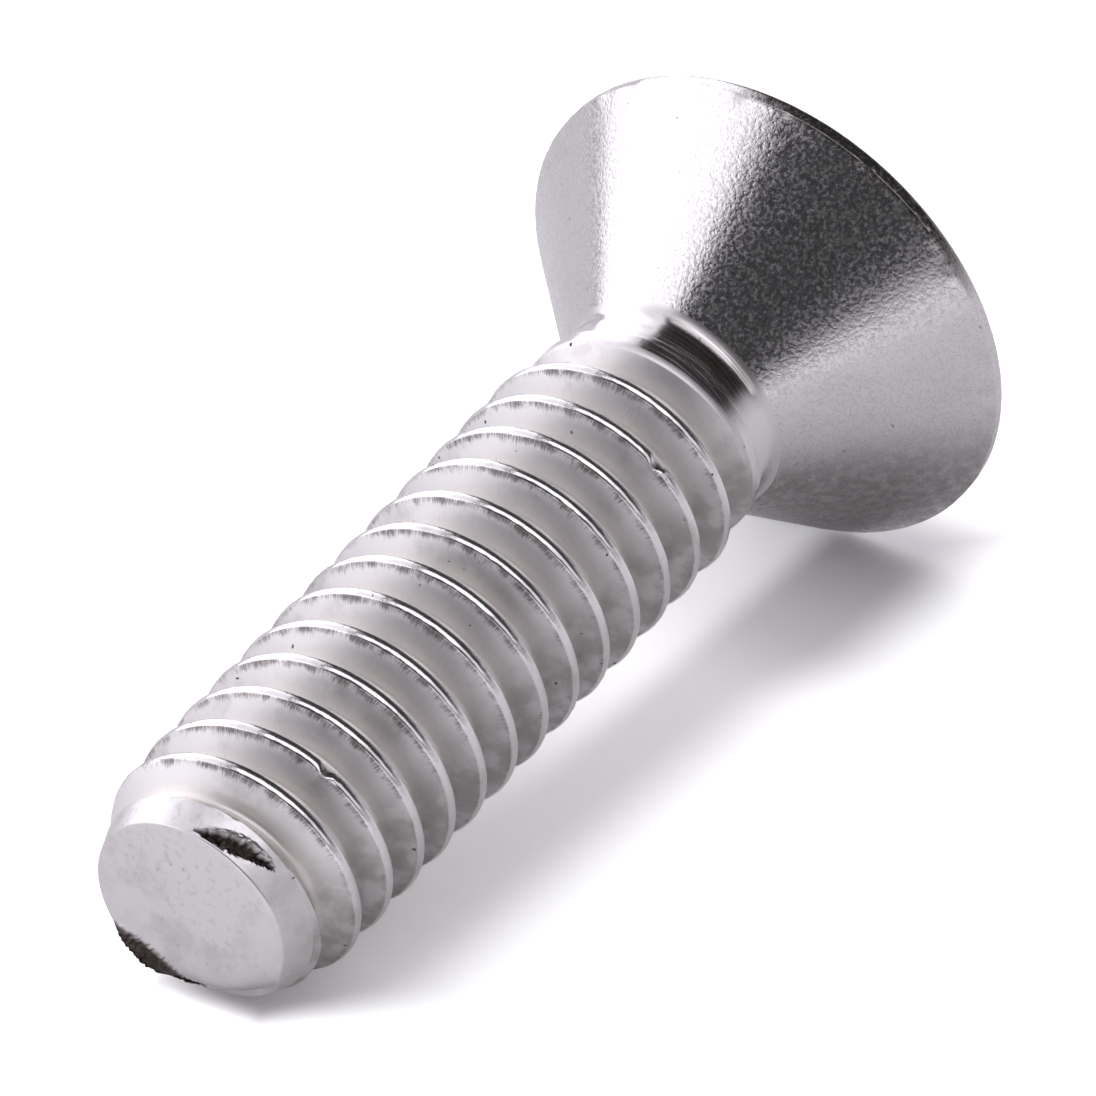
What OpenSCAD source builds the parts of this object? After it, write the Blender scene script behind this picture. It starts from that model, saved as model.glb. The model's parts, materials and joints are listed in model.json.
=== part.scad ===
// Countersunk machine screw, all one piece of stainless steel. The head is cold forged, with a straight
// rim, a conical seat and a cross recess in its flat top. A plain neck runs into the shank, where a
// right-hand thread is rolled, and the shank ends in a bevelled point.
// The screw lies as it comes to rest, on the rim of its head and on one crest of its thread.

/* [Overall] */
// Length from the end face to the flat top of the head
length = 24.16; // [20:0.02:32]

/* [Head] */
// Diameter over the rim
head_d = 12.5; // [11:0.05:14]
// Angle between opposite sides of the seat
seat_angle = 82; // [78:1:92]
// Height of the straight rim above the seat
rim_h = 0.2; // [0.1:0.02:0.5]
// Rounding where the rim meets the flat top
rim_r = 0.2; // [0.1:0.02:0.4]

/* [Cross recess] */
// Width over the wings, at the flat top
recess_d = 7; // [6:0.1:8]
// Depth of the wings
recess_depth = 3.2; // [2.4:0.1:3.6]
// Thickness of a wing
wing_t = 1.25; // [0.9:0.05:1.6]
// Slope of the wings' ends, measured from the screw's axis
wing_slope = 26.5; // [20:0.5:28]
// Diameter of the round middle, at the flat top
core_d = 3.2; // [2.6:0.1:4]
// Diameter of the round middle, at the foot of the wings
core_foot_d = 2.4; // [1.8:0.1:2.6]
// Depth of the conical point below the wings
core_point_h = 0.6; // [0.3:0.05:0.8]

/* [Neck] */
// Diameter of the blank, which the neck keeps and the thread is rolled into
blank_d = 5.46; // [5.1:0.02:5.8]
// Length of the neck between the thread and the fillet
neck_l = 0.25; // [0.15:0.05:1.2]
// Radius of the fillet between neck and seat
fillet_r = 0.6; // [0.3:0.05:1]

/* [Thread] */
// Diameter over the crests
thread_d = 6.28; // [6:0.02:6.6]
// Diameter in the groove
root_d = 4.74; // [4.4:0.02:5]
// Advance in one turn
pitch = 1.27; // [1:0.01:1.5]
// Width of the flat on a crest
crest_flat = 0.16; // [0.08:0.01:0.24]
// Width of the groove's round bottom
root_flat = 0.3; // [0.15:0.01:0.36]
// Rise of the groove's round bottom from its middle to its sides
root_rise = 0.05; // [0.02:0.01:0.1]
// Height of the first deep groove above the end face, on the side that lies down
first_groove = 1.72; // [1.5:0.01:2.4]
// Height above the end face at which the groove starts to bite into the bevel
groove_start = 0.4; // [0.2:0.05:0.8]
// Turns in which the groove grows to its full depth from there
lead_in = 0.6; // [0.4:0.05:1.5]
// Turns in which the groove fades out below the neck
run_out = 0.5; // [0.3:0.05:1]

/* [Point] */
// Diameter of the flat end face
point_d = 4.88; // [3.6:0.02:5]
// Length of the bevel between the end face and the full shank
point_l = 0.8; // [0.4:0.05:1.2]

/* [Hidden] */

// Facets in one turn of the thread, and in a full circle of the head
facets = 40;
round_facets = 96;
// How far one body of the screw reaches into the next, and how proud the neck stands of the faceted shank
lap = 0.4;
neck_proud = 0.01;
// Height within which a point of the thread is drawn onto the ring above or below the thread
snap = 0.03;

head_r = head_d / 2;
crest_r = thread_d / 2;
root_r = root_d / 2;
blank_r = blank_d / 2;
point_r = point_d / 2;
neck_rad = blank_r + neck_proud;

// Heights along the axis, from the end face
rim_z = length - rim_r - rim_h;
seat_z = rim_z - (head_r - neck_rad) / tan(seat_angle / 2);
fillet_z = seat_z - fillet_r * tan(seat_angle / 4);
neck_z = fillet_z - neck_l;
thread_top = neck_z - lap / 4;

// The groove in turns: where it starts, where it has faded out, and the stretch that is drawn, which
// begins half a facet off the side that lies down and reaches a turn past the thread at both ends
groove_in = (groove_start - first_groove) / pitch;
groove_out = (neck_z - pitch / 2 - first_groove) / pitch;
first_turn = (floor((groove_in - 1) * facets) + 0.5) / facets;
last_turn = (thread_top - first_groove) / pitch + 1;
steps = ceil((last_turn - first_turn) * facets);

// Smooth rise from 0 to 1
function ease(x) = let (c = min(max(x, 0), 1)) c * c * (3 - 2 * c);

// Depth of the groove after t turns, as a share of its full depth
function depth(t) = ease((t - groove_in) / lead_in) * (1 - ease((t - groove_out) / run_out + 1));

// Radius of the crest above the groove: the metal that the grooves on both sides have raised
function crest(t) = blank_r + (crest_r - blank_r) * (depth(t) + depth(t + 1)) / 2;

// Radius of the groove's bottom, given its radius at full depth
function bottom(t, full) = blank_r - (blank_r - full) * depth(t);

// Section of one pitch after t turns, as height above the groove's middle and radius
function section(t) = [
    [crest_flat / 2 - pitch / 2, crest(t - 1)],
    [-root_flat / 2, bottom(t, root_r + root_rise)],
    [0, bottom(t, root_r)],
    [root_flat / 2, bottom(t, root_r + root_rise)],
    [pitch / 2 - crest_flat / 2, crest(t)]
];
section_points = 5;

function turn_at(i) = first_turn + i / facets;
function groove_z(t) = first_groove + pitch * t;
function around(r, t, z) = [r * cos(360 * t), r * sin(360 * t), z];
function ring(r, z) = [for (j = [0 : facets - 1]) around(r, turn_at(j), z)];

// Radius of the rolled skin at a height, after t turns
function skin_r(t, z) =
    let (n = round((z - groove_z(t)) / pitch))
    lookup(z - groove_z(t + n), section(t + n));

// Ring where the bevel ends, with the notch where the groove runs out over it
bevel_ring = [
    for (j = [0 : facets - 1])
        let (t = turn_at(j))
        around(min(blank_r, skin_r(t, point_l)), t, point_l)
];

// The thread's points, step by step, and then the rings: end face, bevel, run-out and the spigot above it
thread_points = [
    for (i = [0 : steps])
        let (t = turn_at(i))
        for (s = section(t)) around(s[1], t, groove_z(t) + s[0])
];
rings_at = len(thread_points);
shank_points = concat(
    thread_points,
    ring(point_r, 0),
    bevel_ring,
    ring(blank_r, thread_top),
    ring(blank_r, neck_z + lap)
);

// Place in the list of a ring's point, and of a thread's point unless it lies beyond the thread's ends
function ring_point(n, j) = rings_at + n * facets + j % facets;
function thread_point(i, k) =
    let (here = i * section_points + k)
    let (z = thread_points[here][2])
    z < point_l + snap ? ring_point(1, i) : z > thread_top - snap ? ring_point(2, i) : here;

// Two triangles between four points, without the ones that have no area
function patch(a, b, c, d) = [
    for (f = [[a, b, c], [a, c, d]])
        if (f[0] != f[1] && f[1] != f[2] && f[2] != f[0]) f
];

// Faces within a pitch, between one pitch and the next, around the rings, and over both ends
pitch_faces = [
    for (i = [0 : steps - 1], k = [0 : section_points - 2])
        each patch(thread_point(i, k), thread_point(i, k + 1),
                   thread_point(i + 1, k + 1), thread_point(i + 1, k))
];
crest_faces = [
    for (i = [0 : steps - facets - 1])
        each patch(thread_point(i, section_points - 1), thread_point(i + facets, 0),
                   thread_point(i + facets + 1, 0), thread_point(i + 1, section_points - 1))
];
ring_faces = [
    for (n = [0, 2], j = [0 : facets - 1])
        each patch(ring_point(n, j), ring_point(n + 1, j), ring_point(n + 1, j + 1), ring_point(n, j + 1))
];
end_faces = [
    [for (j = [0 : facets - 1]) ring_point(0, j)],
    [for (j = [facets - 1 : -1 : 0]) ring_point(3, j)]
];

// Threaded shank with its bevelled point, and a spigot that reaches into the neck
module shank() {
    polyhedron(shank_points, concat(pitch_faces, crest_faces, ring_faces, end_faces));
}

// Half section of the neck and head, with the fillet between neck and seat
module head_section() {
    half = seat_angle / 2;
    fillet_centre = [neck_rad + fillet_r, fillet_z];
    to_seat = [-cos(half), sin(half)];
    polygon([
        [0, neck_z],
        [neck_rad, neck_z],
        [neck_rad, seat_z],
        [head_r, rim_z],
        [head_r, length - rim_r],
        [head_r - rim_r, length],
        [0, length]
    ]);
    translate([head_r - rim_r, length - rim_r]) circle(rim_r);
    difference() {
        polygon([
            fillet_centre,
            fillet_centre + (fillet_r + lap) * to_seat,
            [neck_rad - lap, seat_z],
            [neck_rad - lap, fillet_z]
        ]);
        translate(fillet_centre) circle(fillet_r);
    }
}

// Hollow of the cross recess, from above the flat top down to its point
module cross_recess() {
    over = lap;
    slope = tan(wing_slope);
    top = recess_d / 2 + over * slope;
    foot = recess_d / 2 - recess_depth * slope;
    for (a = [0, 90])
        rotate([90, 0, a])
            linear_extrude(wing_t, center = true)
                polygon([[-top, over], [-foot, -recess_depth], [foot, -recess_depth], [top, over]]);
    translate([0, 0, -recess_depth])
        cylinder(recess_depth + over, d1 = core_foot_d, d2 = core_d);
    translate([0, 0, -recess_depth - core_point_h])
        cylinder(core_point_h, d1 = 0, d2 = core_foot_d);
}

// The screw on its end face, with its axis upright
module upright() {
    $fn = round_facets;
    difference() {
        union() {
            shank();
            rotate_extrude() head_section();
        }
        translate([0, 0, length]) cross_recess();
    }
}

// The screw's rest: it touches the ground with the lower edge of the rim and with the crest above the
// first deep groove, which sets the slope of its axis
rest_r = crest(0) * cos(180 / facets);
rest_z = groove_z(0) + pitch / 2 - crest_flat / 2;
lie = atan((head_r - rest_r) / (rim_z - rest_z));
lift = head_r * cos(lie) - rim_z * sin(lie);
tail = -point_r * sin(lie);
nose = (head_r - rim_r) * sin(lie) + (length - rim_r) * cos(lie) + rim_r;

module screw() {
    color("silver")
        translate([-(tail + nose) / 2, 0, lift])
            rotate([0, 90 - lie, 0]) upright();
}

screw();
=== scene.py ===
import json
import math

import bpy
import numpy as np
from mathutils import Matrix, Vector


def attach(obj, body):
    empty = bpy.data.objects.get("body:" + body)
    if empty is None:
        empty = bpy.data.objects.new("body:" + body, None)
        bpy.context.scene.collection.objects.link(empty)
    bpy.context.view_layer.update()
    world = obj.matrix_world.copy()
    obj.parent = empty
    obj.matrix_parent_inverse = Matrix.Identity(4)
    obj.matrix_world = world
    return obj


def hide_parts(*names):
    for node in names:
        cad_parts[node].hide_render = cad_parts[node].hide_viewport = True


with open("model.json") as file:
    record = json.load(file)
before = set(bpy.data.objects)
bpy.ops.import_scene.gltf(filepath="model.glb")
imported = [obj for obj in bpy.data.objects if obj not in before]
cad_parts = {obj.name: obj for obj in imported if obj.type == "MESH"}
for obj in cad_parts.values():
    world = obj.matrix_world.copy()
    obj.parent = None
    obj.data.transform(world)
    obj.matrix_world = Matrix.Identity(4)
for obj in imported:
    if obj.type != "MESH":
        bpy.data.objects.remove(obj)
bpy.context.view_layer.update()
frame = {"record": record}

# Rolled thread
# Dies squeeze the groove into the blank and raise the crests beside it, so nothing is cut: crests and roots
# are round. The groove starts on the bevel and fades out below the neck, and the last turn is ironed flat.
# Sizes are in mm: a radius, a height above the end face and an angle from the side that lies down.
length, head_r, rim_h, rim_r = 24.16, 6.25, 0.2, 0.2
seat_half, fillet_r, neck_l, neck_lap = math.radians(41), 0.6, 0.25, 0.1
thread_r, root_r, blank_r, pitch = 3.14, 2.37, 2.73, 1.27
neck_r = blank_r + 0.01
rim_z = length - rim_h - rim_r
seat_z = rim_z - (head_r - neck_r) / math.tan(seat_half)
fillet_z = seat_z - fillet_r * math.tan(seat_half / 2)
neck_z = round(fillet_z - neck_l, 4)
thread_top = neck_z - neck_lap
first_groove, groove_start, lead_in, run_out = 1.72, 0.4, 0.6, 0.5
groove_in = (groove_start - first_groove) / pitch
groove_out = (neck_z - pitch / 2 - first_groove) / pitch
point_r, point_l, trim_slope = 2.44, 0.8, 0.49
crest_round, corner_round, root_round = 0.22, 0.06, 0.168
flank_turn, corner_turn = math.radians(60.6), math.radians(30)
crest_turns = (flank_turn, math.radians(45), corner_turn, math.radians(15), 0.0)
flank_shares = (0.27, 0.85)
flat_from, flat_rise, top_blend, snap = 0.12, 0.13, 0.2, 0.03
columns = 270
turn = np.arange(columns) * 2 * math.pi / columns
skin = {"radius": [], "angle": [], "height": [], "faces": [], "finish": []}
finishes = []


def ease(x):
    """Smooth step from 0 to 1."""
    c = np.clip(x, 0, 1)
    return c * c * (3 - 2 * c)


def groove_depth(t):
    """Share of the full depth that the groove has after t turns."""
    return ease((t - groove_in) / lead_in) * (1 - ease((t - groove_out) / run_out + 1))


def crest_radius(t):
    """Radius of the crest that follows the groove after t turns, raised by the grooves on its two sides."""
    return blank_r + (thread_r - blank_r) * (groove_depth(t) + groove_depth(t + 1)) / 2


def crest_point(a):
    """Offset and radius where a crest's skin has turned by a: a broad top, then a tight corner."""
    top, side = min(a, corner_turn), max(a, corner_turn)
    along = crest_round * math.sin(top) + corner_round * (math.sin(side) - math.sin(corner_turn))
    down = crest_round * (1 - math.cos(top)) + corner_round * (math.cos(corner_turn) - math.cos(side))
    return pitch / 2 - along, thread_r - down


root_arc = [(root_round * math.sin(a), root_r + root_round * (1 - math.cos(a)))
            for a in np.linspace(0, flank_turn, 3)]
crest_arc = [crest_point(a) for a in crest_turns]
flank_line = [tuple(np.array(root_arc[-1]) * (1 - s) + np.array(crest_arc[0]) * s) for s in flank_shares]
half = np.array(root_arc + flank_line + crest_arc)
half_share = (half[:, 1] - root_r) / (thread_r - root_r)
offset = np.concatenate([-half[::-1, 0], half[1:, 0]])


def rolled(t, off):
    """Radius of the rolled skin after t turns, at an offset along the axis from the groove's middle."""
    depth = groove_depth(t)
    bottom = blank_r - (blank_r - root_r) * depth
    crest = np.where(off < 0, crest_radius(t - 1), crest_radius(t))
    share = np.interp(np.abs(off), half[:, 0], half_share)
    flattened = ease((np.abs(off) - flat_from) / flat_rise)
    fading = (1 - depth) * (off < 0) * (t > groove_out - 1)
    return bottom + (crest - bottom) * (share + (flattened - share) * fading)


def bevelled(height):
    """Radius of the bevel in each column at a height, with the notch where the groove runs out over it."""
    cone = point_r + (blank_r - point_r) * height / point_l
    turns = turn / (2 * math.pi)
    t = turns + np.round((height - first_groove) / pitch - turns)
    return np.minimum(cone, rolled(t, height - first_groove - pitch * t))


def add_points(radius, angle, height):
    """Points of the skin, as numbers in the order they are given."""
    start = sum(len(part) for part in skin["radius"])
    for name, values in (("radius", radius), ("angle", angle), ("height", height)):
        skin[name].append(np.array(values, float))
    return start + np.arange(len(skin["radius"][-1]))


def ring(radius, height):
    """One round of points; a radius or height may change from column to column."""
    whole = np.ones(columns)
    return add_points(radius * whole, turn, height * whole)


def add_quads(corners):
    """Faces in the newest finish from an array of four corners each, without corners that fall together."""
    for quad in corners.reshape(-1, 4).tolist():
        face = list(dict.fromkeys(quad))
        if len(face) > 2:
            skin["faces"].append(face)
            skin["finish"].append(len(finishes) - 1)


first_step = math.ceil((point_l - pitch / 2 - first_groove) / pitch * columns)
last_step = math.ceil((thread_top + pitch / 2 - first_groove) / pitch * columns)
step = np.arange(first_step, last_step + 1)
turns = (step / columns)[:, None]
grid_z = first_groove + pitch * turns + offset[None, :]
grid_a = np.broadcast_to(2 * math.pi * turns, grid_z.shape)
grid_r = np.minimum(rolled(turns, offset[None, :]), blank_r + trim_slope * (grid_z - point_l))
grid_r = blank_r + (grid_r - blank_r) * ease((thread_top - grid_z) / top_blend)
low_ring = ring(bevelled(point_l), point_l)
high_ring = ring(blank_r, thread_top)
on_low = grid_z <= point_l + snap
on_high = grid_z >= thread_top - snap
grid = np.where(on_low, low_ring[step % columns][:, None], high_ring[step % columns][:, None])
own = ~(on_low | on_high)
own[:, -1] = False
grid[own] = add_points(grid_r[own], grid_a[own], grid_z[own])
grid[:-columns, -1] = grid[columns:, 0]


def put(tree, kind, feeds=None, **settings):
    """A node in a tree: feeds are its inputs by name or number, each a value or another node's output."""
    made = tree.nodes.new(kind)
    for name, value in settings.items():
        setattr(made, name, value)
    for name, value in (feeds or {}).items():
        if isinstance(value, bpy.types.NodeSocket):
            tree.links.new(value, made.inputs[name])
        else:
            made.inputs[name].default_value = value
    return made


def combine(tree, operation, first, *others):
    """Values brought together by one operation, from left to right."""
    for other in others or (0.0,):
        made = put(tree, "ShaderNodeMath", {0: first, 1: other}, operation=operation)
        first = made.outputs["Value"]
    return first


def vector(tree, operation, a, b=(0.0, 0.0, 0.0), output="Vector"):
    """One operation on two vectors."""
    return put(tree, "ShaderNodeVectorMath", {0: a, 1: b}, operation=operation).outputs[output]


def noise(tree, place, scale, detail, roughness=0.5):
    """A noise over a place."""
    feeds = {"Vector": place, "Scale": scale, "Detail": detail, "Roughness": roughness}
    return put(tree, "ShaderNodeTexNoise", feeds)


def fade(tree, value, start, stop, low=0.0, high=1.0):
    """Smooth change from a low level, where a value is at the start, to a high one at the stop."""
    feeds = {"Value": value, "From Min": start, "From Max": stop, "To Min": low, "To Max": high}
    return put(tree, "ShaderNodeMapRange", feeds, interpolation_type="SMOOTHSTEP").outputs["Result"]


def blend(tree, share, low, high):
    """A colour between two others."""
    made = put(tree, "ShaderNodeMix", {"Factor": share}, data_type="RGBA")
    for name, value in (("A", low), ("B", high)):
        socket = next(i for i in made.inputs if i.name == name and i.type == "RGBA")
        if isinstance(value, bpy.types.NodeSocket):
            tree.links.new(value, socket)
        else:
            socket.default_value = value
    return next(o for o in made.outputs if o.type == "RGBA")


def new_group(name, inputs, outputs):
    """An empty node group with named inputs and outputs, each a socket type by name."""
    group = bpy.data.node_groups.new(name, "ShaderNodeTree")
    for word, kind in inputs.items():
        group.interface.new_socket(word, in_out="INPUT", socket_type=kind)
    for word, kind in outputs.items():
        group.interface.new_socket(word, in_out="OUTPUT", socket_type=kind)
    return group


# Place on the screw, found from the recess's mount: the way out from its axis, the distance out, the height
VALUE, VECTOR = "NodeSocketFloat", "NodeSocketVector"
recess_mount = next(m for m in frame["record"]["mounts"] if m["name"] == "cross_recess")
axis = np.array(recess_mount["axis"])
top_centre = np.array(recess_mount["pos_m"])
lowest = axis[2] * axis - np.array([0.0, 0.0, 1.0])
lowest /= np.linalg.norm(lowest)
aside = np.cross(axis, lowest)
mm_per_m = 1000.0
place_group = new_group("screw_place", {}, {"Spoke": VECTOR, "Out": VALUE, "Along": VALUE})
here = put(place_group, "ShaderNodeTexCoord").outputs["Object"]
from_top = vector(place_group, "SUBTRACT", here, tuple(top_centre))


def reach(towards):
    """How far a point lies from the top's middle in one direction, in mm."""
    return vector(place_group, "DOT_PRODUCT", from_top, tuple(mm_per_m * towards), "Value")


across = put(place_group, "ShaderNodeCombineXYZ", {"X": reach(lowest), "Y": reach(aside)}).outputs[0]
put(place_group, "NodeGroupOutput", {
    "Spoke": vector(place_group, "NORMALIZE", across),
    "Out": vector(place_group, "LENGTH", across, output="Value"),
    "Along": combine(place_group, "ADD", reach(axis), length)})

# Lines that dies and tools have drawn, with their number to the mm in each direction
lines_group = new_group("drawn_lines", {"Round": VALUE, "Lengthwise": VALUE, "Outwards": VALUE},
                        {"Lines": VALUE})
given = put(lines_group, "NodeGroupInput")
placed = put(lines_group, "ShaderNodeGroup", node_tree=place_group)
around_feeds = {0: placed.outputs["Spoke"], "Scale": given.outputs["Round"]}
around = put(lines_group, "ShaderNodeVectorMath", around_feeds, operation="SCALE").outputs["Vector"]
rise = combine(lines_group, "MULTIPLY", placed.outputs["Along"], given.outputs["Lengthwise"])
widen = combine(lines_group, "MULTIPLY", placed.outputs["Out"], given.outputs["Outwards"])
depth_feeds = {"Z": combine(lines_group, "ADD", rise, widen)}
depthwise = put(lines_group, "ShaderNodeCombineXYZ", depth_feeds).outputs[0]
drawn = noise(lines_group, vector(lines_group, "ADD", around, depthwise), 1.0, 3.0, 0.6)
put(lines_group, "NodeGroupOutput", {"Lines": drawn.outputs["Fac"]})

# Marks of handling: ragged dark specks and faint stains
marks_group = new_group("handling_marks", {"Specks": VALUE, "Stains": VALUE},
                        {"Specks": VALUE, "Stains": VALUE})
given = put(marks_group, "NodeGroupInput")
here = put(marks_group, "ShaderNodeTexCoord").outputs["Object"]
warp = noise(marks_group, here, 9000.0, 2.0).outputs["Color"]
shift = vector(marks_group, "MULTIPLY", warp, (0.00016,) * 3)
ragged = vector(marks_group, "ADD", here, shift)
spots = put(marks_group, "ShaderNodeTexVoronoi", {"Vector": ragged, "Scale": 2600.0})
chance = put(marks_group, "ShaderNodeSeparateColor", {0: spots.outputs["Color"]}).outputs[0]
spot_size = combine(marks_group, "MULTIPLY", combine(marks_group, "POWER", chance, 3.0), 0.165)
inside = combine(marks_group, "SUBTRACT", spot_size, spots.outputs["Distance"])
cloud = noise(marks_group, here, 620.0, 5.0, 0.65).outputs["Fac"]
specked, clouded = fade(marks_group, inside, 0.0, 0.05), fade(marks_group, cloud, 0.5, 0.7)
put(marks_group, "NodeGroupOutput", {
    "Specks": combine(marks_group, "MULTIPLY", specked, given.outputs["Specks"]),
    "Stains": combine(marks_group, "MULTIPLY", clouded, given.outputs["Stains"])})

steel, stain, soot = (0.64, 0.63, 0.625, 1), (0.37, 0.352, 0.33, 1), (0.05, 0.04, 0.035, 1)


def new_finish(name, specks, stains, bare=steel):
    """A new steel finish: its tree, shader, place on the screw and base colour with handling marks."""
    made = bpy.data.materials.new(name)
    made.use_nodes = True
    finishes.append(made)
    tree = made.node_tree
    shader = tree.nodes["Principled BSDF"]
    shader.inputs["Metallic"].default_value = 1.0
    marks = put(tree, "ShaderNodeGroup", node_tree=marks_group)
    marks.inputs["Specks"].default_value = specks
    marks.inputs["Stains"].default_value = stains
    stained = blend(tree, marks.outputs["Stains"], bare, stain)
    colour = blend(tree, marks.outputs["Specks"], stained, soot)
    return tree, shader, put(tree, "ShaderNodeGroup", node_tree=place_group), colour


def lines(tree, around, lengthwise, outwards):
    """Lines drawn in the steel, with their number to the mm in each direction."""
    made = put(tree, "ShaderNodeGroup", node_tree=lines_group)
    for name, value in (("Round", around), ("Lengthwise", lengthwise), ("Outwards", outwards)):
        made.inputs[name].default_value = value
    return made.outputs["Lines"]


def grain(tree, scale, detail=2.0):
    """Even grain, with its scale to the mm."""
    place = put(tree, "ShaderNodeTexCoord").outputs["Object"]
    return noise(tree, place, scale * mm_per_m, detail).outputs["Fac"]


def facing(tree, at, angle):
    """How far a place faces one side of the screw, which is given in degrees from the lowest side."""
    side = math.radians(angle)
    return vector(tree, "DOT_PRODUCT", at.outputs["Spoke"], (math.cos(side), math.sin(side), 0.0), "Value")


def worn(tree, name):
    """A mark that is kept with the points of the skin."""
    return put(tree, "ShaderNodeAttribute", attribute_name=name).outputs["Fac"]


def dress(tree, shader, colour, roughness, heights):
    """Links a finish to its shader: colour, roughness and heights, each with its depth in mm."""
    tree.links.new(colour, shader.inputs["Base Color"])
    tree.links.new(roughness, shader.inputs["Roughness"])
    normal = None
    for height, depth in heights:
        bump = put(tree, "ShaderNodeBump", {"Height": height, "Distance": depth / mm_per_m})
        if normal:
            tree.links.new(normal, bump.inputs["Normal"])
        normal = bump.outputs["Normal"]
    tree.links.new(normal, shader.inputs["Normal"])


bright_steel, root_tint, band_brown = (0.73, 0.72, 0.715, 1), (0.72, 0.695, 0.66, 1), (0.16, 0.11, 0.085, 1)
painted_fringe_dark, thread_shade_dark = (0.1, 0.088, 0.084, 1), (0.33, 0.315, 0.295, 1)
tree, shader, at, colour = new_finish("rolled_thread", 1.0, 0.4, bright_steel)
out, along = at.outputs["Out"], at.outputs["Along"]
colour = blend(tree, fade(tree, out, 2.4, 2.8), root_tint, colour)
combed = lines(tree, 125.0, 3.5, 3.0)
patches = fade(tree, grain(tree, 2.2, 3.0), 0.35, 0.65, -0.2, 0.08)
# Share of the top side, where the painted fringe shade is darker
top_side_share = fade(tree, facing(tree, at, 190), 0.4, 0.95, -0.2, 0.06)
painted_fringe_mask = combine(tree, "ADD", combed, patches, top_side_share, fade(tree, out, 2.84, 3.08, -0.3, 0.2))
# Painted shade: a painted dark reflection as a ragged fringe just below each crest
painted_fringe_shade = combine(tree, "MULTIPLY", fade(tree, painted_fringe_mask, 0.36, 0.85, 0.0, 0.85), fade(tree, out, 3.105, 3.085),
                 fade(tree, along, 18.2, 17.4))
colour = blend(tree, painted_fringe_shade, colour, painted_fringe_dark)
# Painted shade: the thread's lower side is painted darker, a painted reflection of the floor's shadow
painted_thread_shade = combine(tree, "MULTIPLY", fade(tree, facing(tree, at, 300), 0.45, 0.98, 0.0, 0.75),
                 fade(tree, grain(tree, 1.6, 4.0), 0.35, 0.62, 0.35, 1.0), fade(tree, out, 3.1, 3.06))
colour = blend(tree, painted_thread_shade, colour, thread_shade_dark)
streaked = fade(tree, lines(tree, 1.6, 20.0, 8.0), 0.36, 0.52, 0.5, 1.0)
polish = combine(tree, "MULTIPLY", worn(tree, "ironed"), streaked)
colour = blend(tree, polish, colour, steel)
# Brown band on the ironed turn beside the neck
colour = blend(tree, combine(tree, "MULTIPLY", polish, worn(tree, "brown_band"), 0.35), colour, band_brown)
satin = fade(tree, out, 3.06, 3.09, 0.44, 0.15)
rough = combine(tree, "ADD", satin, fade(tree, combed, 0.3, 0.7, 0.0, 0.06))
rough = fade(tree, polish, 0.0, 1.0, rough, 0.17)
dress(tree, shader, colour, rough, [(combed, 0.0012), (grain(tree, 8.0), 0.002)])
add_quads(np.stack([grid[:-1, :-1], grid[1:, :-1], grid[1:, 1:], grid[:-1, 1:]], 2))

# Cropped end
# The wire was cropped off and bevelled before rolling. A flat face with a soft edge, wider on the side away
# from the shear, meets a bevel that rises to the blank's own radius, where the thread begins.
edge_h, edge_r, soft_width, soft_angle = 0.05, 2.41, 0.16, math.radians(300)
face_shares = (0.2, 0.4, 0.55, 0.68, 0.75, 0.8, 0.85, 0.9, 0.95, 1.0)
face_r = edge_r - soft_width * ease((np.cos(turn - soft_angle) + 0.2) / 1.2)
face = [(face_r * share, 0.0) for share in face_shares]
edge = [(face_r + (bevelled(edge_h) - face_r) * math.sin(a), edge_h * (1 - math.cos(a)))
        for a in np.linspace(0, math.pi / 2, 5)[1:]]
bevel = [(bevelled(z), z) for z in np.linspace(edge_h, point_l, 20)[1:-1]]


def band(lower, upper):
    """Faces between two rounds of points, from the lower to the upper one."""
    add_quads(np.stack([lower, np.roll(lower, -1), np.roll(upper, -1), upper], 1))


def stack(rounds, below):
    """Rounds of points one over the other, as (radius, height), joined to the round below them."""
    for radius, height in rounds:
        above = ring(radius, height)
        band(below, above)
        below = above
    return below


fleck_dark, tear_brown = (0.25, 0.24, 0.235, 1), (0.056, 0.04, 0.034, 1)
tree, shader, at, colour = new_finish("cropped_end", 0.3, 0.35)
flecks = combine(tree, "MULTIPLY", fade(tree, grain(tree, 6.0, 4.0), 0.52, 0.7, 0.0, 0.22),
                 fade(tree, grain(tree, 0.45, 2.0), 0.45, 0.6))
colour = blend(tree, flecks, colour, fleck_dark)
tear, bruise = worn(tree, "torn"), grain(tree, 9.0, 3.0)
torn_dark = combine(tree, "MULTIPLY", tear, fade(tree, bruise, 0.3, 0.6, 0.93, 1.0))
colour = blend(tree, torn_dark, colour, tear_brown)
rough = combine(tree, "ADD", fade(tree, grain(tree, 1.6, 4.0), 0.3, 0.7, 0.3, 0.44),
                combine(tree, "MULTIPLY", tear, 0.2))
dress(tree, shader, colour, rough, [(grain(tree, 7.0), 0.006), (lines(tree, 2.0, 0.4, 11.0), 0.002),
                                    (combine(tree, "MULTIPLY", bruise, tear), 0.035)])
end_middle = np.full(columns, add_points([0.0], [0.0], [0.0])[0])
band(stack(face + edge + bevel, end_middle), low_ring)

# Plain neck
# The part of the blank that the thread's dies don't reach. It is polished by the heading die, which also
# leaves the fillet under the head.
neck = [(neck_r, z) for z in np.linspace(neck_z, fillet_z, 5)]
fillet = [(neck_r + fillet_r * (1 - math.cos(a)), fillet_z + fillet_r * math.sin(a))
          for a in np.linspace(0, seat_half, 7)[1:]]
tree, shader, at, colour = new_finish("plain_neck", 0.4, 0.15)
streaks = lines(tree, 1.6, 26.0, 8.0)
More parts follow.
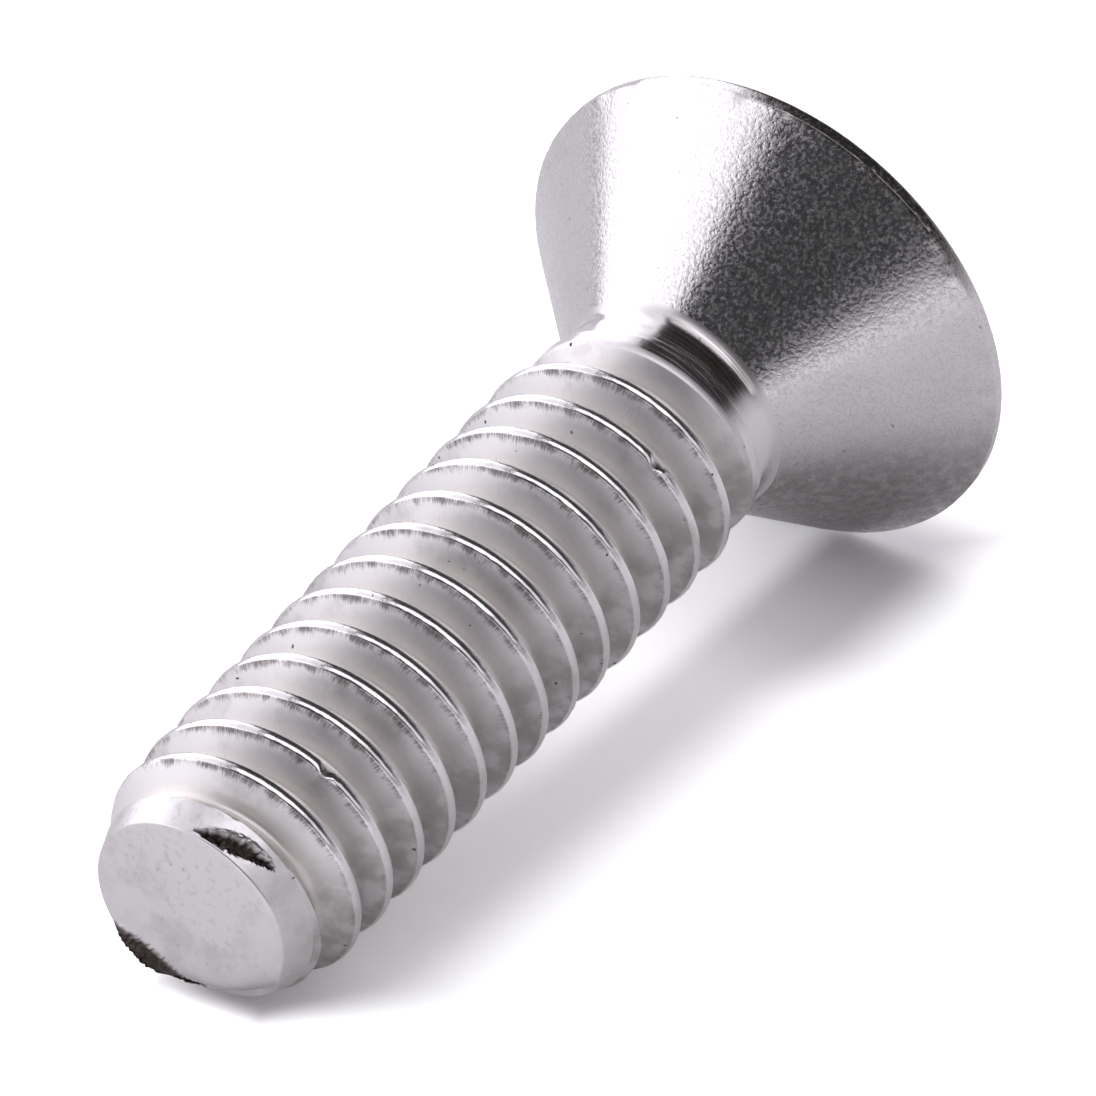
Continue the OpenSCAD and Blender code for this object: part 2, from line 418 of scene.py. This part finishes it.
# Brown band on the neck's upper side, broken up by the streaks and a little rougher
brown = combine(tree, "MULTIPLY", worn(tree, "brown_band"), fade(tree, streaks, 0.35, 0.6))
colour = blend(tree, brown, colour, band_brown)
rough = combine(tree, "ADD", fade(tree, at.outputs["Out"], 2.75, 2.8, 0.13, 0.3),
                combine(tree, "MULTIPLY", brown, 0.1))
dress(tree, shader, colour, rough, [(streaks, 0.0025)])
neck_ring = stack(neck + fillet, high_ring)

# Forged seat and rim
# The cone under the head takes the pebbled grain of the heading die. It ends in a thin straight rim with
# soft edges. Painted shade darkens the rim's upper side, and the seat's lower side is painted darker as a
# painted reflection of the floor's shadow.
corner_r = 0.035
corner_turned = math.pi / 2 - seat_half
corner_z = rim_z + corner_r * math.tan(corner_turned / 2)
corner = [(head_r - corner_r * (1 - math.cos(a)), corner_z - corner_r * math.sin(a))
          for a in np.linspace(corner_turned, 0, 5)]
seat = [(r, seat_z + (r - neck_r) / math.tan(seat_half))
        for r in np.linspace(fillet[-1][0], corner[0][0], 16)[1:-1]]
rim = [(head_r - rim_r * (1 - math.cos(a)), rim_z + rim_h + rim_r * math.sin(a))
       for a in np.linspace(0, math.pi / 2, 7)]
seat_shade_dark, rim_shade_dark, crease_dark = (0.2, 0.19, 0.185, 1), (0.13, 0.11, 0.1, 1), (0.3, 0.29, 0.28, 1)
tree, shader, at, colour = new_finish("forged_seat", 0.5, 0.12)
# Painted shade: the seat's lower side is painted darker, a painted reflection of the floor's shadow
painted_seat_shade = combine(tree, "MULTIPLY", fade(tree, facing(tree, at, 315), 0.74, 0.99),
                fade(tree, grain(tree, 4.0, 4.0), 0.3, 0.65, 0.55, 0.85))
colour = blend(tree, painted_seat_shade, colour, seat_shade_dark)
# Painted shade: the rim's upper side is painted darker
painted_rim_shade = combine(tree, "MULTIPLY", fade(tree, facing(tree, at, 211), 0.78, 0.92, 0.0, 0.6),
                fade(tree, at.outputs["Out"], 6.18, 6.22))
colour = blend(tree, painted_rim_shade, colour, rim_shade_dark)
ridge = combine(tree, "ABSOLUTE", combine(tree, "SUBTRACT", grain(tree, 6.5, 2.0), 0.5))
crease = fade(tree, ridge, 0.0, 0.045, 1.0, 0.0)
colour = blend(tree, combine(tree, "MULTIPLY", crease, 0.22), colour, crease_dark)
pebbles = grain(tree, 11.0, 2.0)
rough = combine(tree, "ADD", fade(tree, pebbles, 0.32, 0.7, 0.13, 0.29),
                combine(tree, "MULTIPLY", crease, 0.1))
dress(tree, shader, colour, rough, [(pebbles, 0.0075)])
rim_ring = stack(seat + corner + rim, neck_ring)

# Flat top and cross recess
# The top is upset flat against the header's punch, which also sinks the tapered cross for the driver: two
# wings over a round core that ends in a blunt point.
wing_half, wing_slope, wing_t = 3.5, math.tan(math.radians(26.5)), 1.25
recess_depth, core_r, core_foot_r, core_point_h = 3.2, 1.6, 1.2, 0.6
lip_round, foot_drop = 0.1, 0.02
flat_shares = (0.12, 0.4, 0.7, 0.9, 1.0)


def cross(depth, grow=0.0):
    """Radius of the cross in each column at a depth below the top, with its corners softened."""
    half_span = wing_half - depth * wing_slope + grow
    radius = np.full(columns, core_r - (core_r - core_foot_r) * depth / recess_depth + grow)
    for wing in (0, math.pi / 2):
        lengthwise, sideways = np.abs(np.cos(turn - wing)) + 1e-9, np.abs(np.sin(turn - wing)) + 1e-9
        radius = np.maximum(radius, np.minimum(half_span / lengthwise, (wing_t / 2 + grow) / sideways))
    return sum(np.roll(radius, k) for k in (-1, 0, 1)) / 3


flat = [((head_r - rim_r) * (1 - s) + cross(0.0, lip_round) * s, length) for s in flat_shares]
lip = [(cross(lip_round * math.sin(a), lip_round * (1 - math.sin(a))),
        length - lip_round * (1 - math.cos(a))) for a in np.linspace(0, math.pi / 2, 5)[1:]]
walls = [(cross(d), length - d) for d in np.linspace(lip_round, recess_depth, 8)[1:]]
foot = [(np.minimum(cross(recess_depth) * 0.9, core_foot_r), length - recess_depth - foot_drop),
        (core_foot_r * 0.5, length - recess_depth - core_point_h * 0.55)]
tree, shader, at, colour = new_finish("headed_top", 0.6, 0.25)
rough = fade(tree, grain(tree, 2.5, 4.0), 0.3, 0.7, 0.22, 0.34)
dress(tree, shader, colour, rough, [(grain(tree, 6.0, 3.0), 0.005), (lines(tree, 2.5, 3.0, 12.0), 0.0015)])
recess_ring = stack(flat + lip + walls + foot, rim_ring)
recess_point = add_points([0.0], [0.0], [length - recess_depth - core_point_h])
band(recess_ring, np.full(columns, recess_point[0]))

# Wear
# Marks that cropping, rolling and handling have left: the end's lower side rolled over and torn by the
# shear, a gouge across the bevel, two nicked crests, fine dents along crests and rim, and the last turn
# ironed flat. A brown band lies on the upper side beside the neck.
wear = np.random.default_rng(11)
R, A, Z = (np.concatenate(skin[name]) for name in ("radius", "angle", "height"))
degrees = np.degrees(A) % 360
past_low = (degrees + 180) % 360 - 180
fine = wear.normal(size=R.size)


def between(values, start, stop, soft):
    """Share by which values lie between two places, fading out softly before both."""
    return ease((values - start) / soft) * ease((stop - values) / soft)


def bump_at(angle, height, wide, tall):
    """Soft round mark at a place on the skin: angle in degrees, the rest in mm."""
    around = np.radians((degrees - angle + 180) % 360 - 180) * R
    return np.exp(-(around / wide) ** 2 - ((Z - height) / tall) ** 2)


shear_depth, shear_inner, tear_from, tear_span, tear_depth = 0.5, 1.85, 4, 60, 0.6
shear_reach = np.clip((R - shear_inner) / (point_r - shear_inner), 0, 1) ** 2
rolled_over = shear_depth * between(past_low, -75, 40, 45) * shear_reach
rough_edge = 1 + 0.1 * fine * ease((past_low + 5) / 15)
burr = between(past_low, 16, 64, 12) * ease((R - 2.1) / 0.25) * (Z < 0.12)
tear_share = np.clip((past_low - tear_from) / tear_span, 0, 1)
tear_line = point_r - tear_depth * np.sin(np.pi * tear_share) ** 0.7
torn = ease((R - tear_line) / 0.15 + 0.2 * fine) * (R > 1.7) * (Z < 0.25)
torn = torn * (tear_share > 0) * (tear_share < 1)
Z = np.where(Z < 0.9, np.maximum(Z, rolled_over * rough_edge), Z) - burr * (0.08 + 0.03 * fine)

gouge_from, gouge_span, gouge_width, gouge_depth = 186.6, 45.8, 0.2, 0.17
gouge_share = np.clip((degrees - gouge_from) / gouge_span, 0, 1)
gouge_middle = 0.12 + 0.3 * gouge_share + 0.18 * gouge_share ** 2
gouge_half = gouge_width * np.sin(np.pi * gouge_share) ** 0.9 + 0.001
gouge_edge = (Z + 0.012 * fine - gouge_middle) / gouge_half
gouge = ease(1.8 * (1 - np.abs(gouge_edge))) * (R > 2.3) * (Z < 0.75)
gouge = gouge * (gouge_share > 0) * (gouge_share < 1)
flake = np.exp(-((gouge_edge - 1.15) / 0.2) ** 2) * (R > 2.3) * (Z < 0.85)
flake = flake * (gouge_share > 0.05) * (gouge_share < 0.95)
R = R - gouge * (gouge_depth + 0.03 * fine) + flake * (0.02 + 0.025 * np.abs(fine))
torn = np.clip(torn + gouge * 2.6, 0, 1)

nicks = ((228.0, 15.86), (216.5, 3.12))
for nick_angle, nick_z in nicks:
    nick = bump_at(nick_angle, nick_z, 0.16, 0.2) * (R > 2.9)
    Z = Z - 0.13 * nick
    R = R - 0.07 * nick + 0.05 * bump_at(nick_angle + 4, nick_z - 0.1, 0.08, 0.1) * (R > 2.85)
crest_noise, rim_dents = 0.0025, 26
R = R + ease((R - 3.05) / 0.08) * (Z > 0.9) * (Z < 19) * crest_noise * fine
on_rim = ease((R - 6.15) / 0.08)
R = R - on_rim * (0.002 + 0.004 * np.abs(fine))
for dent_angle in wear.uniform(0, 360, rim_dents):
    dent = bump_at(dent_angle, rim_z + wear.uniform(-0.02, 0.35), wear.uniform(0.05, 0.16), 0.1)
    R = R - on_rim * wear.uniform(0.004, 0.018) * dent

# Brown band over the neck and the last turn, 183 to 240 degrees past the lowest side
brown_band = between(degrees, 183, 240, 8) * (Z > 18.2) * (Z < 19.9) * (1 - 0.5 * ease((Z - 19.5) / 0.1))
share_round = degrees / 360
last_groove = share_round + np.floor(groove_out - run_out / 2 - share_round)
ironed = ease((Z - first_groove - pitch * (last_groove + 0.5) - 0.03) / 0.07)

# Screw
# One piece of stainless steel, headed, rolled and cropped from one wire. The skin above is closed, and
# takes the place of the plain solid.
spoke = np.cos(A)[:, None] * lowest + np.sin(A)[:, None] * aside
places = top_centre + ((Z - length)[:, None] * axis + R[:, None] * spoke) / mm_per_m
places[:, 2] = np.maximum(places[:, 2], 0.0)
mesh = bpy.data.meshes.new("screw_skin")
mesh.from_pydata(places.tolist(), [], skin["faces"])
for material in finishes:
    mesh.materials.append(material)
mesh.polygons.foreach_set("material_index", skin["finish"])
mesh.polygons.foreach_set("use_smooth", [True] * len(mesh.polygons))
mesh.set_sharp_from_angle(angle=math.radians(35))
for name, values in (("torn", torn), ("brown_band", brown_band), ("ironed", ironed)):
    mesh.attributes.new(name, "FLOAT", "POINT").data.foreach_set("value", values)
screw = bpy.data.objects.new("countersunk_screw", mesh)
bpy.context.scene.collection.objects.link(screw)
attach(screw, "root")
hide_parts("screw")

# Floor
# A wide sheet of white paper that the screw lies on. Its glow is painted light: the camera sees it glow
# white, but the glow is painted down in a band along the screw, a painted shadow over the real cast shadow
# under and beside it, with a painted lit strip under the shank. The steel sees a painted brighter glow in
# front of the point.
floor_half, paper_colour, paper_level, front_level = 0.25, (0.94, 0.94, 0.94, 1), 0.64, 0.25
corners = [(x * floor_half, y * floor_half, 0) for x, y in ((-1, -1), (1, -1), (1, 1), (-1, 1))]
floor_mesh = bpy.data.meshes.new("floor")
floor_mesh.from_pydata(corners, [], [(0, 1, 2, 3)])
floor = bpy.data.objects.new("floor", floor_mesh)
bpy.context.scene.collection.objects.link(floor)
paper = bpy.data.materials.new("white_paper")
paper.use_nodes = True
sheet = paper.node_tree
paper_shader = sheet.nodes["Principled BSDF"]
paper_shader.inputs["Base Color"].default_value = paper_colour
paper_shader.inputs["Roughness"].default_value = 0.9
paper_shader.inputs["Specular IOR Level"].default_value = 0.0
paper_shader.inputs["Emission Color"].default_value = (1, 1, 1, 1)
paper_place = put(sheet, "ShaderNodeSeparateXYZ", {0: put(sheet, "ShaderNodeTexCoord").outputs["Object"]})
paper_x, paper_y = paper_place.outputs["X"], paper_place.outputs["Y"]
shank_share = fade(sheet, paper_x, -0.0125, -0.008)
head_share = fade(sheet, paper_x, 0.005, 0.0085)


def along_screw(point, shank, head):
    """A value for the paper that changes along the screw: at its point, shank and head."""
    to_shank = combine(sheet, "MULTIPLY", shank_share, shank - point)
    to_head = combine(sheet, "MULTIPLY", head_share, head - shank)
    return combine(sheet, "ADD", to_shank, to_head, point)


# Painted shadow: the paper's glow is dimmed within these widths along the screw
shadow_half = along_screw(0.0006, 0.0026, 0.0034)
beside = combine(sheet, "SUBTRACT", combine(sheet, "ABSOLUTE", paper_y), shadow_half)
in_front = combine(sheet, "SUBTRACT", -0.011, paper_x)
behind = combine(sheet, "SUBTRACT", paper_x, 0.013)
away = combine(sheet, "MAXIMUM", beside, in_front, behind)
shade_width, shade_lift = along_screw(0.0007, 0.0026, 0.0026), along_screw(0.0, 0.16, 0.0)
# Painted light: a lit strip in the glow just under the shank
below = combine(sheet, "MULTIPLY", fade(sheet, paper_y, -0.0018, -0.0006),
                fade(sheet, paper_x, -0.003, 0.005, 0.0, 0.3))
seen_level = fade(sheet, away, 0.0, shade_width, combine(sheet, "ADD", shade_lift, below), paper_level)
# Painted reflection: glossy rays see the paper glow brighter in front of the point
reflected_level = fade(sheet, in_front, 0.0, 0.01, 0.0, front_level)
paper_path = put(sheet, "ShaderNodeLightPath").outputs
shining = combine(sheet, "MAXIMUM", paper_path["Is Glossy Ray"], paper_path["Is Transmission Ray"])
white = combine(sheet, "ADD", combine(sheet, "MULTIPLY", paper_path["Is Camera Ray"], seen_level),
                combine(sheet, "MULTIPLY", shining, reflected_level))
sheet.links.new(white, paper_shader.inputs["Emission Strength"])
floor_mesh.materials.append(paper)

# Studio light
# A wide softbox stands at the left, down to the table, a narrow upright one at the right, and a panel hangs
# overhead. The rest of the room is dark, with a pale horizon behind and at the right and a bright one in
# front.
room_level, horizon_level, front_horizon_level, panel_level = 0.05, 0.72, 1.9, 1.7
light_tint = (0.99, 0.955, 1.03, 1)
world = bpy.data.worlds.new("studio")
bpy.context.scene.world = world
world.use_nodes = True
sky = world.node_tree
sky.nodes.clear()
direction = put(sky, "ShaderNodeSeparateXYZ", {0: put(sky, "ShaderNodeTexCoord").outputs["Generated"]})
to_x, to_y, to_z = (direction.outputs[name] for name in "XYZ")


def soften(light, *edges):
    """A light with soft edges, each given as a value, where the light ends and where it is full."""
    return combine(sky, "MULTIPLY", light, *(fade(sky, value, end, full) for value, end, full in edges))


def softbox(side, left, right, bottom, top, soft, level):
    """Upright softbox towards +Y or -Y, with its edges as slopes from the middle of the room."""
    ahead = combine(sky, "MULTIPLY", to_y, side)
    far = combine(sky, "MAXIMUM", ahead, 0.01)
    sideways = combine(sky, "DIVIDE", to_x, far)
    upwards = combine(sky, "DIVIDE", to_z, far)
    return soften(fade(sky, ahead, 0.0, 0.08, 0.0, level),
                  (sideways, left - soft, left + soft), (sideways, right + soft, right - soft),
                  (upwards, bottom - 0.03, bottom + 0.06), (upwards, top + 2 * soft, top - soft))


key = softbox(side=1, left=-2.55, right=1.55, bottom=0.02, top=2.5, soft=0.22, level=2.0)
key = combine(sky, "MULTIPLY", key, fade(sky, to_z, 0.55, 0.8, 1.0, 0.6))
strip = softbox(side=-1, left=-0.35, right=0.25, bottom=0.18, top=3.4, soft=0.08, level=0.95)
panel = soften(fade(sky, to_z, 0.55, 0.72, 0.0, panel_level),
               (to_x, -0.46, -0.38), (to_x, 0.24, 0.16), (to_y, 0.3, 0.2))
horizon_top = fade(sky, to_x, -0.3, 0.5, 0.17, 0.45)
horizon = combine(sky, "MULTIPLY", fade(sky, to_z, horizon_top, 0.0),
                  fade(sky, to_y, 0.4, -0.2, 0.3, horizon_level))
front_horizon = soften(fade(sky, to_x, -0.6, -0.95, 0.0, front_horizon_level),
                       (to_z, 0.2, 0.09), (to_y, -0.3, -0.05))
level = combine(sky, "MAXIMUM", key, strip, panel, horizon, front_horizon, room_level)
studio = put(sky, "ShaderNodeBackground", {"Color": light_tint, "Strength": level})
backdrop = put(sky, "ShaderNodeBackground", {"Color": (1, 1, 1, 1), "Strength": 1.0})
sky_path = put(sky, "ShaderNodeLightPath")
mixed = put(sky, "ShaderNodeMixShader", {0: sky_path.outputs["Is Camera Ray"], 1: studio.outputs[0],
                                         2: backdrop.outputs[0]})
put(sky, "ShaderNodeOutputWorld", {"Surface": mixed.outputs[0]})

# Camera
# A long lens from above and in front of the point, as the photograph was taken. Its place was fitted to the
# rim of the head, the crests and the end face.
view_azimuth, view_elevation = math.radians(56.890), math.radians(32.760)
view_distance, view_centre = 0.35559, Vector((0.002853, 0.000407, 0.004070))
forward = Vector((math.sin(view_azimuth) * math.cos(view_elevation),
                  math.cos(view_azimuth) * math.cos(view_elevation), -math.sin(view_elevation)))
lens = bpy.data.cameras.new("camera")
lens.sensor_width = 36.0
lens.lens = 515.5
camera = bpy.data.objects.new("camera", lens)
camera.location = view_centre - forward * view_distance
camera.rotation_mode = "QUATERNION"
camera.rotation_quaternion = forward.to_track_quat("-Z", "Y")
bpy.context.scene.collection.objects.link(camera)
bpy.context.scene.camera = camera
bpy.context.scene.view_settings.view_transform = "Standard"
